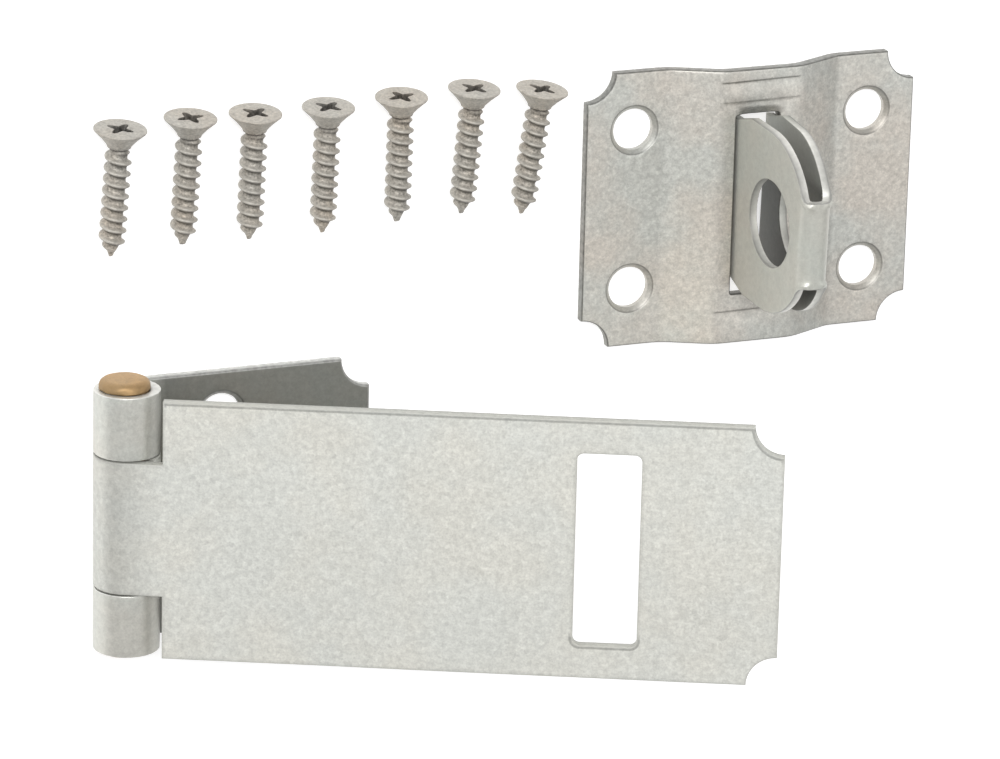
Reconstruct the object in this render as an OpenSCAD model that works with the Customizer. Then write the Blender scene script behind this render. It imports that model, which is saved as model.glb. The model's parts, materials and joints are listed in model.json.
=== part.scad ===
// Safety hasp with its separate staple and seven wood screws, laid out on a flat surface.
// Origin: the middle of the leaf's pair of screw holes, on the leaf's back face.
// +X runs from the hinge towards the strap's free end, +Y along the hinge pin, +Z away from the surface.

/* [Sheet metal] */
// Thickness of the leaf, the strap and the staple plate
sheet = 1.9; // [1.6:0.1:2]
// Radius of the concave notches at the sheet corners
notch_r = 5; // [3:0.1:5.5]

/* [Hinge] */
// Outside radius of the knuckles
knuckle_r = 5.6; // [5.4:0.1:6]
// Length of each outer knuckle
outer_knuckle_len = 10.9; // [9:0.1:12]
// Free gap between neighbouring knuckles
knuckle_gap = 0.3; // [0.2:0.05:0.5]
// Radial clearance of the pin in the knuckles
pin_clearance = 0.05; // [0.02:0.01:0.1]
// Radius of the pin heads
pin_head_r = 4.3; // [4.1:0.1:5]
// Thickness of the pin's riveted head, at -Y
riveted_head_h = 0.9; // [0.8:0.1:2]
// Thickness of its formed head, at +Y
formed_head_h = 1.8; // [0.8:0.1:2]
// Where the curled edge of each knuckle ends, in degrees below the pin axis
curl_end = 32; // [25:1:36]

/* [Leaf] */
// Length from the pin axis to the leaf's free end
leaf_len = 44; // [42:0.5:52]
// Width along the pin
leaf_w = 45.5; // [44:0.1:48]
// Distance from the pin axis to the pair of screw holes
leaf_pair_x = 17.7; // [15:0.1:20]
// Spacing of that pair
leaf_pair_spacing = 30.2; // [26:0.1:32]
// Distance from the pin axis to the single screw hole
leaf_single_x = 35.5; // [32:0.1:36]

/* [Strap] */
// Length from the pin axis to the strap's free end
strap_len = 108.7; // [100:0.1:115]
// Width along the pin
strap_w = 45; // [42:0.1:45.5]
// Distance from the pin axis to the flat part's near edge
shoulder_x = 6.6; // [6.3:0.1:8]
// Distance from the pin axis to the middle of the slot
slot_x = 80.1; // [76:0.1:84]
// Slot width and height
slot_size = [10.7, 33.6]; // [9:0.1:40]
// Corner radius of the slot
slot_corner_r = 1.2; // [0.5:0.1:3]
// Angle that the strap stands open, from lying parallel to the leaf
strap_open = 25; // [0:1:155]

/* [Staple plate] */
// Size along X
plate_w = 60.4; // [58:0.1:66]
// Size along Y
plate_h = 48.4; // [46:0.1:52]
// Height of the raised band above the plate's wings
band_rise = 4.1; // [3.9:0.1:5]
// Half width of the flat top of the raised band
band_half = 7; // [6.8:0.1:8]
// Half width of the raised band at its foot
band_foot = 15.5; // [14:0.1:16]
// Hole spacing along X
plate_hole_x = 43; // [41:0.1:45]
// Hole spacing along Y
plate_hole_y = 28; // [26:0.1:30]
// Width and height of the slot for the loop
plate_slot = [8, 31.6]; // [8:0.1:33]
// Middle of that slot, from the middle of the plate
plate_slot_at = [-0.6, 0.4]; // [-0.8:0.1:0.8]
// Where the staple lies: the middle of its plate
staple_at = [94.7, 44.4]; // [40:0.1:110]

/* [Staple loop] */
// Thickness of the loop's strip
strip = 1.4; // [1.2:0.1:1.6]
// Height of the fold above the plate's back face
loop_top = 32.2; // [31:0.1:34]
// How far the loop leans towards -Y in its slot, in degrees
loop_lean = 2.6; // [0:0.1:3.2]
// How far the loop sits from the middle of its slot along Y
loop_shift = 1.5; // [-1.4:0.1:1.7]
// Half width of the loop across its strip at the plate, to the strip's middle
loop_base_half = 3.15; // [3:0.05:3.2]
// The same at the fold
loop_fold_half = 1.9; // [1.85:0.05:2.2]
// Half length of the cheeks along Y where they are longest
cheek_half = 15.8; // [14.5:0.1:16]
// Half length of the fold along Y
fold_half = 7.6; // [6:0.1:8]
// Radius of the padlock eye
eye_r = 7.5; // [5:0.1:7.6]
// Height of the padlock eye above the plate's back face
eye_z = 19.1; // [18:0.1:20]

/* [Screw holes and screws] */
// Radius of every screw hole
hole_r = 3.6; // [2.6:0.1:3.8]
// Radius of the countersink at the face
sink_r = 4.35; // [4.3:0.05:4.8]
// Screw length over the head
screw_len = 22.4; // [20:0.1:26]
// Radius of the screw head
head_r = 4.4; // [4:0.1:4.6]
// Radius of the thread crests
crest_r = 2.3; // [2:0.05:2.6]
// Radius of the thread roots
root_r = 1.5; // [1.3:0.05:1.7]
// Thread pitch
pitch = 2; // [1.8:0.05:2.2]

/* [Hidden] */
$fn = 64;
over = 1;                                  // how far a cutting tool runs past a face
pin_x = -leaf_pair_x;                      // the pin axis stands left of the origin
pin_z = knuckle_r;                         // and one knuckle radius above the surface
bore_r = knuckle_r - sheet;                // inside radius of the knuckles
pin_r = bore_r - pin_clearance;
pin_head_play = 0.05;                      // free play under each pin head
pin_edge_r = 0.7;                          // rounding of the pin heads
mid_half = leaf_w / 2 - outer_knuckle_len - knuckle_gap;   // half length of the middle knuckle
steel = [0.74, 0.74, 0.72];
dark_steel = [0.62, 0.62, 0.6];
warm_steel = [0.68, 0.66, 0.64];
brass = [0.74, 0.62, 0.4];
zinc = [0.52, 0.5, 0.47];

bend_r = 3;                                // centreline radius of the staple plate's four bends
bend_steps = 5;                            // flats in one bend
foot_z = 2.4;                              // height of the loop feet's middle
foot_half = 6;                             // half width across the feet
foot_reach = 9;                            // half length of the feet along Y
foot_bend_r = 1.3;                         // centreline radius where a cheek turns into its foot
fold_r = 1.8;                              // centreline radius of the fold
cheek_low_z = 3.2;                         // lower edge of the cheeks beside their feet
cheek_base_half = 14;                      // half length of the cheeks in the plate's slot
cheek_base_z = 5;                          // height where the cheeks begin to widen
cheek_wide_z = 10.5;                       // height where they are fully wide
cheek_arc_z = 17.5;                        // height where their shoulders begin
shoulder_r = 14.8;                         // radius of the cheeks' round shoulders

land_h = 0.25;                             // straight rim of a screw head
neck_r = 1.7;                              // plain neck under a screw head
neck_h = 0.5;
head_h = head_r - neck_r + land_h;         // the head's underside slopes at 45 degrees
turns = 8;                                 // full-size thread ridges on a screw
tip_r = 0.55;                              // radius of a screw's blunt tip
recess_w = 1.05;                           // width of a cross recess's arms
recess_top = 4.7;                          // span of the recess at the face
recess_bottom = 1.6;                       // and at its floor
recess_depth = 2.2;
thread_z = -head_h - neck_h;               // height where the thread starts
last_crest_z = thread_z - (turns - 0.5) * pitch;
lie_tilt = atan((head_r - crest_r) / (-last_crest_z - land_h));   // a screw lies on head rim and thread
lie_z = head_r * cos(lie_tilt) + land_h * sin(lie_tilt);

// Each screw: head centre X and Y, heading of the tip from -Y, turn of the recess
screw_places = [
    [-18.6, 67.0, -1.9, 45],
    [-6.6, 67.9, -1, 12],
    [4.6, 67.8, 0, 38],
    [17.3, 67.8, 0.4, 40],
    [30.1, 68.5, 1.4, 15],
    [43.0, 68.9, -2.2, 35],
    [55.2, 67.8, -5.7, 40],
];

// ---- helpers -------------------------------------------------------------

function unit(v) = v / norm(v);
function left_of(v) = [-v[1], v[0]];
function turned(v, a) = [v[0] * cos(a) - v[1] * sin(a), v[0] * sin(a) + v[1] * cos(a)];

// Points and normals round the corner b of the path a-b-c, at radius r
function corner(a, b, c, r, steps) =
    let (u = unit(b - a), w = unit(c - b), turn = atan2(cross(u, w), u * w))
    let (start = b - u * r * tan(abs(turn) / 2), centre = start + sign(turn) * r * left_of(u))
    [for (i = [0 : steps]) let (n = turned(left_of(u), turn * i / steps)) [centre - sign(turn) * r * n, n]];

// The whole path: its first point, every rounded corner and its last point
function bent_path(pts, radii, steps) =
    let (last = len(pts) - 1)
    concat([[pts[0], left_of(unit(pts[1] - pts[0]))]],
           [for (i = [1 : last - 1]) each corner(pts[i - 1], pts[i], pts[i + 1], radii[i - 1], steps)],
           [[pts[last], left_of(unit(pts[last] - pts[last - 1]))]]);

// A strip of constant thickness bent along a path
module bent_strip(pts, radii, thickness, steps) {
    path = bent_path(pts, radii, steps);
    upper = [for (p = path) p[0] + p[1] * thickness / 2];
    lower = [for (i = [len(path) - 1 : -1 : 0]) path[i][0] - path[i][1] * thickness / 2];
    polygon(concat(upper, lower));
}

module round_rect(size, r) {
    square([size[0] - 2 * r, size[1]], center = true);
    square([size[0], size[1] - 2 * r], center = true);
    for (sx = [-1, 1])
        for (sy = [-1, 1])
            translate([sx * (size[0] / 2 - r), sy * (size[1] / 2 - r)])
                circle(r = r);
}

// Draws the children along Y between two stations, their Y becoming Z
module along_y(y0, y1) {
    translate([0, y1, 0])
        rotate([90, 0, 0])
            linear_extrude(y1 - y0)
                children();
}

// A screw hole with its countersink in the face at z = 0, going down
module screw_hole() {
    translate([0, 0, -sheet - over])
        cylinder(h = sheet + 2 * over, r = hole_r);
    translate([0, 0, -(sink_r - hole_r)])
        cylinder(h = sink_r - hole_r + over, r1 = hole_r, r2 = sink_r + over);
}

// Section of a knuckle: a sheet that arrives below the pin axis and curls round it
module curl_section() {
    reach = 2 * knuckle_r;
    difference() {
        circle(r = knuckle_r);
        circle(r = bore_r);
        polygon([[0, 0], [0, -reach], [reach, -reach], [reach * cos(curl_end), -reach * sin(curl_end)]]);
    }
}

// A flat sheet below the pin axis, with knuckles curled at the given stations
module curled_sheet(stations) {
    translate([0, 0, -knuckle_r])
        linear_extrude(sheet)
            children();
    for (s = stations)
        along_y(s[0], s[1])
            curl_section();
}

// Outline of a sheet: fingers to the pin axis, then the full width to a notched free end
module sheet_outline(length, width, stations) {
    difference() {
        union() {
            translate([shoulder_x, -width / 2])
                square([length - shoulder_x, width]);
            for (s = stations)
                translate([0, s[0]])
                    square([shoulder_x + over, s[1] - s[0]]);
        }
        for (side = [-1, 1])
            translate([length, side * width / 2])
                circle(r = notch_r);
    }
}

// ---- hasp ----------------------------------------------------------------

module hinge_leaf() {
    stations = [[-leaf_w / 2, -leaf_w / 2 + outer_knuckle_len],
                [leaf_w / 2 - outer_knuckle_len, leaf_w / 2]];
    color(dark_steel)
        translate([pin_x, 0, pin_z])
            difference() {
                curled_sheet(stations)
                    sheet_outline(leaf_len, leaf_w, stations);
                for (side = [-1, 1])
                    translate([leaf_pair_x, side * leaf_pair_spacing / 2, sheet - knuckle_r])
                        screw_hole();
                translate([leaf_single_x, 0, sheet - knuckle_r])
                    screw_hole();
            }
}

module hasp_strap() {
    stations = [[-mid_half, mid_half]];
    color(steel)
        translate([pin_x, 0, pin_z])
            rotate([0, -strap_open, 0])
                mirror([0, 0, 1])
                    curled_sheet(stations)
                        difference() {
                            sheet_outline(strap_len, strap_w, stations);
                            translate([slot_x, 0])
                                round_rect(slot_size, slot_corner_r);
                        }
}

// Half of the pin's profile, from its middle out to a head of the given thickness
function pin_half(head_h) =
    let (shank = leaf_w / 2 + pin_head_play, rim_x = pin_head_r - pin_edge_r)
    concat([[pin_r, 0], [pin_r, shank], [pin_head_r, shank]],
           [for (a = [0 : 15 : 90]) [rim_x + pin_edge_r * cos(a), shank + head_h - pin_edge_r * (1 - sin(a))]],
           [[0, shank + head_h]]);

module hinge_pin() {
    formed = pin_half(formed_head_h);
    riveted = pin_half(riveted_head_h);
    color(brass)
        translate([pin_x, 0, pin_z])
            rotate([-90, 0, 0])
                rotate_extrude()
                    polygon(concat(formed, [for (i = [len(riveted) - 1 : -1 : 1]) [riveted[i][0], -riveted[i][1]]]));
}

// ---- staple --------------------------------------------------------------

module at_staple() {
    translate([staple_at[0], staple_at[1], 0])
        children();
}

module staple_plate() {
    low = sheet / 2;
    high = band_rise + sheet / 2;
    path = [[-plate_w / 2, low], [-band_foot, low], [-band_half, high],
            [band_half, high], [band_foot, low], [plate_w / 2, low]];
    color(warm_steel)
        at_staple()
            difference() {
                along_y(-plate_h / 2, plate_h / 2)
                    bent_strip(path, [bend_r, bend_r, bend_r, bend_r], sheet, bend_steps);
                for (sx = [-1, 1])
                    for (sy = [-1, 1]) {
                        translate([sx * plate_hole_x / 2, sy * plate_hole_y / 2, sheet])
                            screw_hole();
                        translate([sx * plate_w / 2, sy * plate_h / 2, -over])
                            cylinder(h = sheet + 2 * over, r = notch_r);
                    }
                translate([plate_slot_at[0], plate_slot_at[1], 0])
                    linear_extrude(band_rise + sheet + over)
                        square(plate_slot, center = true);
            }
}

// Side outline of the loop's cheeks and feet, in Y and Z
module cheek_outline() {
    arc_x = cheek_half - shoulder_r;
    arc_end = acos((fold_half - arc_x) / shoulder_r);
    arc = [for (i = [0 : 12])
        [arc_x + shoulder_r * cos(arc_end * i / 12), cheek_arc_z + shoulder_r * sin(arc_end * i / 12)]];
    half = concat([[foot_reach, 0], [foot_reach, cheek_low_z], [cheek_base_half, cheek_low_z],
                   [cheek_base_half, cheek_base_z], [cheek_half, cheek_wide_z]],
                  arc, [[fold_half, loop_top + over]]);
    other_half = [for (i = [len(half) - 1 : -1 : 0]) [-half[i][0], half[i][1]]];
    polygon(concat(half, other_half));
}

module staple_loop() {
    top = loop_top - strip / 2;
    path = [[-foot_half, foot_z], [-loop_base_half, foot_z], [-loop_fold_half, top],
            [loop_fold_half, top], [loop_base_half, foot_z], [foot_half, foot_z]];
    color(dark_steel)
        at_staple()
            translate([plate_slot_at[0], plate_slot_at[1] + loop_shift, 0])
                rotate([loop_lean, 0, 0])
                    difference() {
                        intersection() {
                            along_y(-cheek_half - over, cheek_half + over)
                                bent_strip(path, [foot_bend_r, fold_r, fold_r, foot_bend_r], strip, 8);
                            rotate([90, 0, 90])
                                linear_extrude(2 * foot_half + 2 * over, center = true)
                                    cheek_outline();
                        }
                        translate([0, 0, eye_z])
                            rotate([0, 90, 0])
                                cylinder(h = 2 * foot_half, r = eye_r, center = true);
                    }
}

// ---- screws --------------------------------------------------------------

// One screw, its head face at z = 0 and its tip below; each thread turn is a ridge
module wood_screw() {
    ridges = [for (i = [0 : turns - 1])
        let (z = thread_z - i * pitch)
        each [[root_r, z], [crest_r, z - 0.4 * pitch], [crest_r, z - 0.6 * pitch], [root_r, z - pitch]]];
    difference() {
        rotate_extrude()
            polygon(concat([[0, 0], [head_r, 0], [head_r, -land_h], [neck_r, -head_h], [neck_r, thread_z]],
                           ridges, [[tip_r, -screw_len], [0, -screw_len]]));
        for (a = [0, 90])
            rotate([90, 0, a])
                linear_extrude(recess_w, center = true)
                    polygon([[-recess_top / 2, 0], [-recess_top / 2, over], [recess_top / 2, over],
                             [recess_top / 2, 0], [recess_bottom / 2, -recess_depth],
                             [-recess_bottom / 2, -recess_depth]]);
    }
}

// The i-th screw, lying on the surface
module loose_screw(i) {
    place = screw_places[i - 1];
    color(zinc)
        translate([place[0], place[1], lie_z])
            rotate([0, 0, place[2]])
                rotate([lie_tilt - 90, 0, 0])
                    rotate([0, 0, place[3]])
                        wood_screw();
}

hinge_leaf();
hinge_pin();
hasp_strap();
staple_plate();
staple_loop();
loose_screw(1);  // screw_1
loose_screw(2);  // screw_2
loose_screw(3);  // screw_3
loose_screw(4);  // screw_4
loose_screw(5);  // screw_5
loose_screw(6);  // screw_6
loose_screw(7);  // screw_7
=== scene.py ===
import json
import math

import bmesh
import bpy
import numpy as np
from mathutils import Euler, Matrix, Vector, noise
from mathutils.geometry import delaunay_2d_cdt


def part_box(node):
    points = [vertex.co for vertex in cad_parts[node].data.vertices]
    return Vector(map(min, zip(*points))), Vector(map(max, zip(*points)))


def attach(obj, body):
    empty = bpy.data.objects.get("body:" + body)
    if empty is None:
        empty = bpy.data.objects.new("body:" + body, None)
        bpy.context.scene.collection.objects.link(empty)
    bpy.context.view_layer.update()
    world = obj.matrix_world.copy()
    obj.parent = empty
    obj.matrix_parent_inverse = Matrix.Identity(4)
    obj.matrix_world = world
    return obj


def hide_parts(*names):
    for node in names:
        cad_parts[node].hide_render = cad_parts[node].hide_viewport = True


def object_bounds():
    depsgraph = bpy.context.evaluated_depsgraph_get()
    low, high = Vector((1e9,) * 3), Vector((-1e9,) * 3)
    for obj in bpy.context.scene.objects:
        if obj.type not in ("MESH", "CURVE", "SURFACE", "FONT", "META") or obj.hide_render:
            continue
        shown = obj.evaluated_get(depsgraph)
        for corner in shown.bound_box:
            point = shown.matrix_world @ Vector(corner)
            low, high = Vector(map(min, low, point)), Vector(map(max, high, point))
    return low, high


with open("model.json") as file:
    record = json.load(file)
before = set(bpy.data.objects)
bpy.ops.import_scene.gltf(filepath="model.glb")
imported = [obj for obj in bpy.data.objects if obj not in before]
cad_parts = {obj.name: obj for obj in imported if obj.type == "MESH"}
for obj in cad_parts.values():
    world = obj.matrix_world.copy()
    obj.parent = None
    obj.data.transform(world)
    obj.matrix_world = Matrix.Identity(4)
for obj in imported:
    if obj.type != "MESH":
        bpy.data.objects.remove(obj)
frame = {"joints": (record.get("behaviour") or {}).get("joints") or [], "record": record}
cad_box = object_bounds()
record = frame["record"]
MM = 0.001
mounts = {mount["name"]: mount for mount in record["mounts"]}
hinge = next(joint for joint in frame["joints"] if joint["name"] == "strap_hinge")

# ---- sizes, in millimetres ---------------------------------------------------

PIN_X = hinge["pos_m"][0] / MM
PIN_Z = hinge["pos_m"][2] / MM
STRAP_OPEN = -hinge["range_deg"][0]  # degrees that the strap stands open at rest
SHEET = 1.9
KNUCKLE_R = PIN_Z
BORE_R = KNUCKLE_R - SHEET
CURL_TURN = 302  # degrees of sheet curled round the pin
CURL_END = -math.radians(CURL_TURN) * (KNUCKLE_R - SHEET / 2)  # station of a finger's end along the blank
SHOULDER_X = 6.6  # station where the blank's fingers begin
NOTCH_R = 5
BACK_LIP = 0.06  # edge points below this height share the back face's painted shade
FINGER_GAP = 0.3

LEAF_LOW, LEAF_HIGH = [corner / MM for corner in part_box("hinge_leaf")]
LEAF_LEN = LEAF_HIGH.x - PIN_X
LEAF_W = LEAF_HIGH.y - LEAF_LOW.y
OUTER_KNUCKLE = 10.9
MIDDLE_HALF = LEAF_W / 2 - OUTER_KNUCKLE - FINGER_GAP
HOLE_R = mounts["leaf_screw_pair"]["dims"]["hole_r_mm"]
SINK_R = 4.35
LEAF_PAIR = mounts["leaf_screw_pair"]["dims"]["spacing_y_mm"] / 2
LEAF_SINGLE = 35.5

STRAP_LEN = 108.7
STRAP_W = 45
SLOT_X = 80.1
SLOT_HALF = (5.35, 16.8)
SLOT_CORNER = 1.2

PLATE_LOW, PLATE_HIGH = [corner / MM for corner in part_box("staple_plate")]
STAPLE_X, STAPLE_Y, _ = [value / MM for value in mounts["staple_screws"]["pos_m"]]
BOX_PLAY = 0.002  # keeps the mounting plate just inside its CAD box
PLATE_HALF = ((PLATE_HIGH.x - PLATE_LOW.x) / 2 - BOX_PLAY, (PLATE_HIGH.y - PLATE_LOW.y) / 2 - BOX_PLAY)
PLATE_HOLE = (
    mounts["staple_screws"]["dims"]["spacing_x_mm"] / 2,
    mounts["staple_screws"]["dims"]["spacing_y_mm"] / 2,
)
BAND_RISE = PLATE_HIGH.z - SHEET
BAND_HALF = 7
BAND_FOOT = 15.5
BAND_BEND = 6
LEFT_FOOT_BEND = 9
RIGHT_FOOT_BEND = 4
PLATE_SLOT_HALF = (4, 15.8)
PLATE_SLOT_AT = (-0.6, 0.4)
PLATE_SLOT_TOP = PLATE_SLOT_AT[1] + PLATE_SLOT_HALF[1]
PLATE_SLOT_BOTTOM = PLATE_SLOT_AT[1] - PLATE_SLOT_HALF[1]
CREASE_SKEW = 0.02  # how far a crease rises along Y for each millimetre along X
# The plate's creases: station along Y, depth, width and run-out of the step, and how dark its painted shade
# line is
CREASES = [
    (PLATE_SLOT_TOP + 6.1, 0.22, 0.22, 3, 0.85),
    (PLATE_SLOT_TOP + 2.6, 0.1, 0.35, 2.4, 0.4),
    (PLATE_SLOT_BOTTOM - 2.9, 0.2, 0.22, 3.5, 0.85),
]

STRIP = 1.4  # thickness of the loop's strip
LOOP_TOP = 32.2
LOOP_LEAN = 2.6  # degrees towards -Y
LOOP_SHIFT = 1.5
LOOP_BASE = 3.15  # half distance between the cheeks' middles at the feet
LOOP_FOLD = 1.9  # the same at the fold
FOOT_Z = 2.4
FOOT_HALF = 6
FOOT_REACH = 9
FOOT_BEND = 1.3
FOLD_BEND = 1.8
CHEEK_LOW_Z = 3.2
CHEEK_BASE = 14
CHEEK_BASE_Z = 5
CHEEK_HALF = 15.8
CHEEK_WIDE_Z = 10.5
CHEEK_ARC_Z = 17.5
SHOULDER_R = 14.8
FOLD_HALF = 7.6
EYE_R = mounts["padlock_eye"]["dims"]["r_mm"]
EYE_Z = 19.1

PIN_PLAY = 0.05  # in the bore and under each head
PIN_R = BORE_R - PIN_PLAY
PIN_HEAD_R = 4.3
PIN_HEAD_SHIFT = (-0.34, -0.26)  # along X and Z, as the upper head looks in the photo
PIN_LOW, PIN_HIGH = [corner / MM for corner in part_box("hinge_pin")]

SCREW_LEN = 22.4
HEAD_R = 4.4
LAND_H = 0.25  # height of the straight rim round a screw's head
NECK_R = 1.7
COLLAR_R = 2
TIP_R = 0.55
HEAD_H = HEAD_R - NECK_R + LAND_H
THREAD_Z = -HEAD_H - 0.5
CREST_R = 2.3
CREST_PLAY = 0.02  # keeps the helix inside the CAD ridges
ROOT_R = 1.5
PITCH = 2
LAST_CREST_Z = THREAD_Z - 7.5 * PITCH
LIE_TILT = math.degrees(math.atan((HEAD_R - CREST_R) / (-LAST_CREST_Z - LAND_H)))
RECESS_SPAN = 4.9
RECESS_WIDTH = 1.4
SCREW_SIDES = 48
# Heading of each screw's tip from -Y, and the turn of its recess
SCREW_TURNS = [(-1.9, 45), (-1, 12), (0, 38), (0.4, 40), (1.4, 15), (-2.2, 35), (-5.7, 40)]

# ---- flat outlines -------------------------------------------------------------

SAME_POINT = 1e-6
SPOT_CLEARANCE = 0.35  # free points keep this far from every cut edge


def arc(centre, radius, start, end, step=0.45):
    """Points on an arc between two angles in degrees, both ends included."""
    count = max(3, round(abs(math.radians(end - start)) * radius / step))
    angles = [math.radians(start + (end - start) * i / count) for i in range(count + 1)]
    return [(centre[0] + radius * math.cos(a), centre[1] + radius * math.sin(a)) for a in angles]


def circle(centre, radius, count=56):
    """A round hole's loop, clockwise."""
    angles = [-math.tau * i / count for i in range(count)]
    return [(centre[0] + radius * math.cos(a), centre[1] + radius * math.sin(a)) for a in angles]


def divided(loop, step=1.2):
    """The same closed loop with its long edges cut into shorter ones."""
    points = []
    for a, b in zip(loop, loop[1:] + loop[:1]):
        length = math.dist(a, b)
        if length < SAME_POINT:
            continue
        count = max(1, math.ceil(length / step))
        points += [(a[0] + (b[0] - a[0]) * i / count, a[1] + (b[1] - a[1]) * i / count)
                   for i in range(count)]
    return points


def offset(loop, distance):
    """The loop moved sideways, away from the material where distance is positive."""
    points = np.array(loop)
    before = points - np.roll(points, 1, axis=0)
    after = np.roll(points, -1, axis=0) - points
    before /= np.linalg.norm(before, axis=1)[:, None]
    after /= np.linalg.norm(after, axis=1)[:, None]
    n1 = np.stack([before[:, 1], -before[:, 0]], axis=1)
    n2 = np.stack([after[:, 1], -after[:, 0]], axis=1)
    mitre = (n1 + n2) / (1 + (n1 * n2).sum(axis=1))[:, None]
    return points + mitre * distance


def rounded_box(centre, half, radius):
    """A slot's loop with round corners, clockwise."""
    x, y = half[0] - radius, half[1] - radius
    loop = []
    for sx, sy, start in ((-1, -1, 270), (-1, 1, 180), (1, 1, 90), (1, -1, 0)):
        loop += arc((centre[0] + sx * x, centre[1] + sy * y), radius, start, start - 90, 0.2)
    return loop


def inside(points, loops):
    """Which points lie inside the outer loop and outside the holes."""
    found = np.zeros(len(points), bool)
    for loop in loops:
        ends = np.roll(loop, -1, axis=0)
        for a, b in zip(loop, ends):
            if a[1] == b[1]:
                continue
            level = (points[:, 1] >= min(a[1], b[1])) & (points[:, 1] < max(a[1], b[1]))
            cross = a[0] + (points[:, 1] - a[1]) * (b[0] - a[0]) / (b[1] - a[1])
            found ^= level & (points[:, 0] < cross)
    return found


def grid(xs, ys):
    """Free points where the lines x = xs and y = ys cross."""
    return np.array([(x, y) for x in xs for y in ys])


def soft_step(x):
    """0 below 0, 1 above 1 and a smooth rise between."""
    x = min(1, max(0, x))
    return x * x * (3 - 2 * x)


def lines(start, end, step):
    """Evenly spaced values from start to end."""
    count = max(1, math.ceil((end - start) / step))
    return [start + (end - start) * i / count for i in range(count + 1)]


# ---- meshes ------------------------------------------------------------------------


def quarter(radius):
    """Inset and depth of four points over a rounded rim, from the face to the cut."""
    return [(-radius * (1 - math.sin(a)), radius * (1 - math.cos(a)))
            for a in (0, math.pi / 6, math.pi / 3, math.pi / 2)]


def edge_profile(thickness, front_round, back_round):
    """A cut edge from its front rim to its back rim, as (offset, height, rim, line) points."""
    # The dark line marks along the front rim and just below it are painted shade.
    front = [(x, thickness - down, rim, line)
             for (x, down), rim, line in zip(quarter(front_round), (0, 1, 1, 1), (0, 0.7, 0.7, 0.7))]
    back = [(x, up, rim, 0) for (x, up), rim in zip(reversed(quarter(back_round)), (1, 1, 1, 0))]
    return front + [(0, thickness - front_round - 0.28, 1, 0.35)] + back


def shaded_edge_profile(thickness, front_round, back_round):
    """A cut edge with painted shade on its front rim and in a band along the back face beside it."""
    front = [(x, thickness - down, rim, line)
             for (x, down), rim, line in zip(quarter(front_round), (0, 1, 1, 1), (0, 0.2, 0.2, 0.2))]
    marks = ((1, 0), (1, 0), (1, 0.05), (0.6, 0.2))
    back = [(x, up, rim, line) for (x, up), (rim, line) in zip(reversed(quarter(back_round)), marks)]
    band = [(-0.26, 0, 0, 0.1), (-0.48, 0, 0, 0.05), (-0.66, 0, 0, 0)]
    return front + [(0, thickness / 2, 1, 0.05)] + back + band


def sunk_profile(thickness, sink, back_round):
    """A countersunk hole's edge, whose cone is as deep as it is wide."""
    # The lip's dark line marks are painted shade; the cone takes the cut edge's colour: painted highlight on
    # the leaf, painted shade on the plate.
    lip, cut_edge_and_painted_light = 0.12, 0.35
    top = [(-sink - lip, thickness, 0, 0), (-sink - lip / 3, thickness - lip / 6, cut_edge_and_painted_light, 0.7),
           (-sink + lip / 2, thickness - lip, cut_edge_and_painted_light, 0.7)]
    top += [(-sink * k, thickness - sink * (1 - k), cut_edge_and_painted_light, 0) for k in (0.66, 0.33, 0)]
    back = [(x, up, rim, 0) for (x, up), rim in zip(reversed(quarter(back_round)), (cut_edge_and_painted_light, cut_edge_and_painted_light, cut_edge_and_painted_light, 0))]
    return top + back


def fill(shell, rings, spots, flip):
    """Triangles between flat rings, through the free spots. A ring is (flat points, vertices)."""
    loops = [np.array(points) for points, _ in rings]
    border = np.concatenate(loops)
    verts = [vert for _, ring in rings for vert in ring]
    edges = []
    start = 0
    for loop in loops:
        count = len(loop)
        edges += [(start + i, start + (i + 1) % count) for i in range(count)]
        start += count
    points = border
    if len(spots):
        flat = np.array([spot for spot, _ in spots])
        points = np.concatenate([border, flat])
        verts += [vert for _, vert in spots]
    made, _, faces, origin, _, _ = delaunay_2d_cdt([Vector(p) for p in points], edges, [], 0, 1e-7)
    centres = np.array([np.mean([made[i] for i in face], axis=0) for face in faces])
    for face, kept in zip(faces, inside(centres, loops)):
        if kept:
            corners = [verts[origin[i][0]] for i in face]
            a, b, c = [made[i] for i in face[:3]]
            if ((b - a).cross(c - a) < 0) != flip:
                corners.reverse()
            if len(set(corners)) == len(corners):
                shell.faces.new(corners)


def bridge(shell, upper, lower):
    """Quads between two closed rings of vertices."""
    count = len(upper)
    for i in range(count):
        j = (i + 1) % count
        shell.faces.new([upper[i], lower[i], lower[j], upper[j]])


def unshaded(s, v):
    """No painted shade anywhere."""
    return 0


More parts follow.
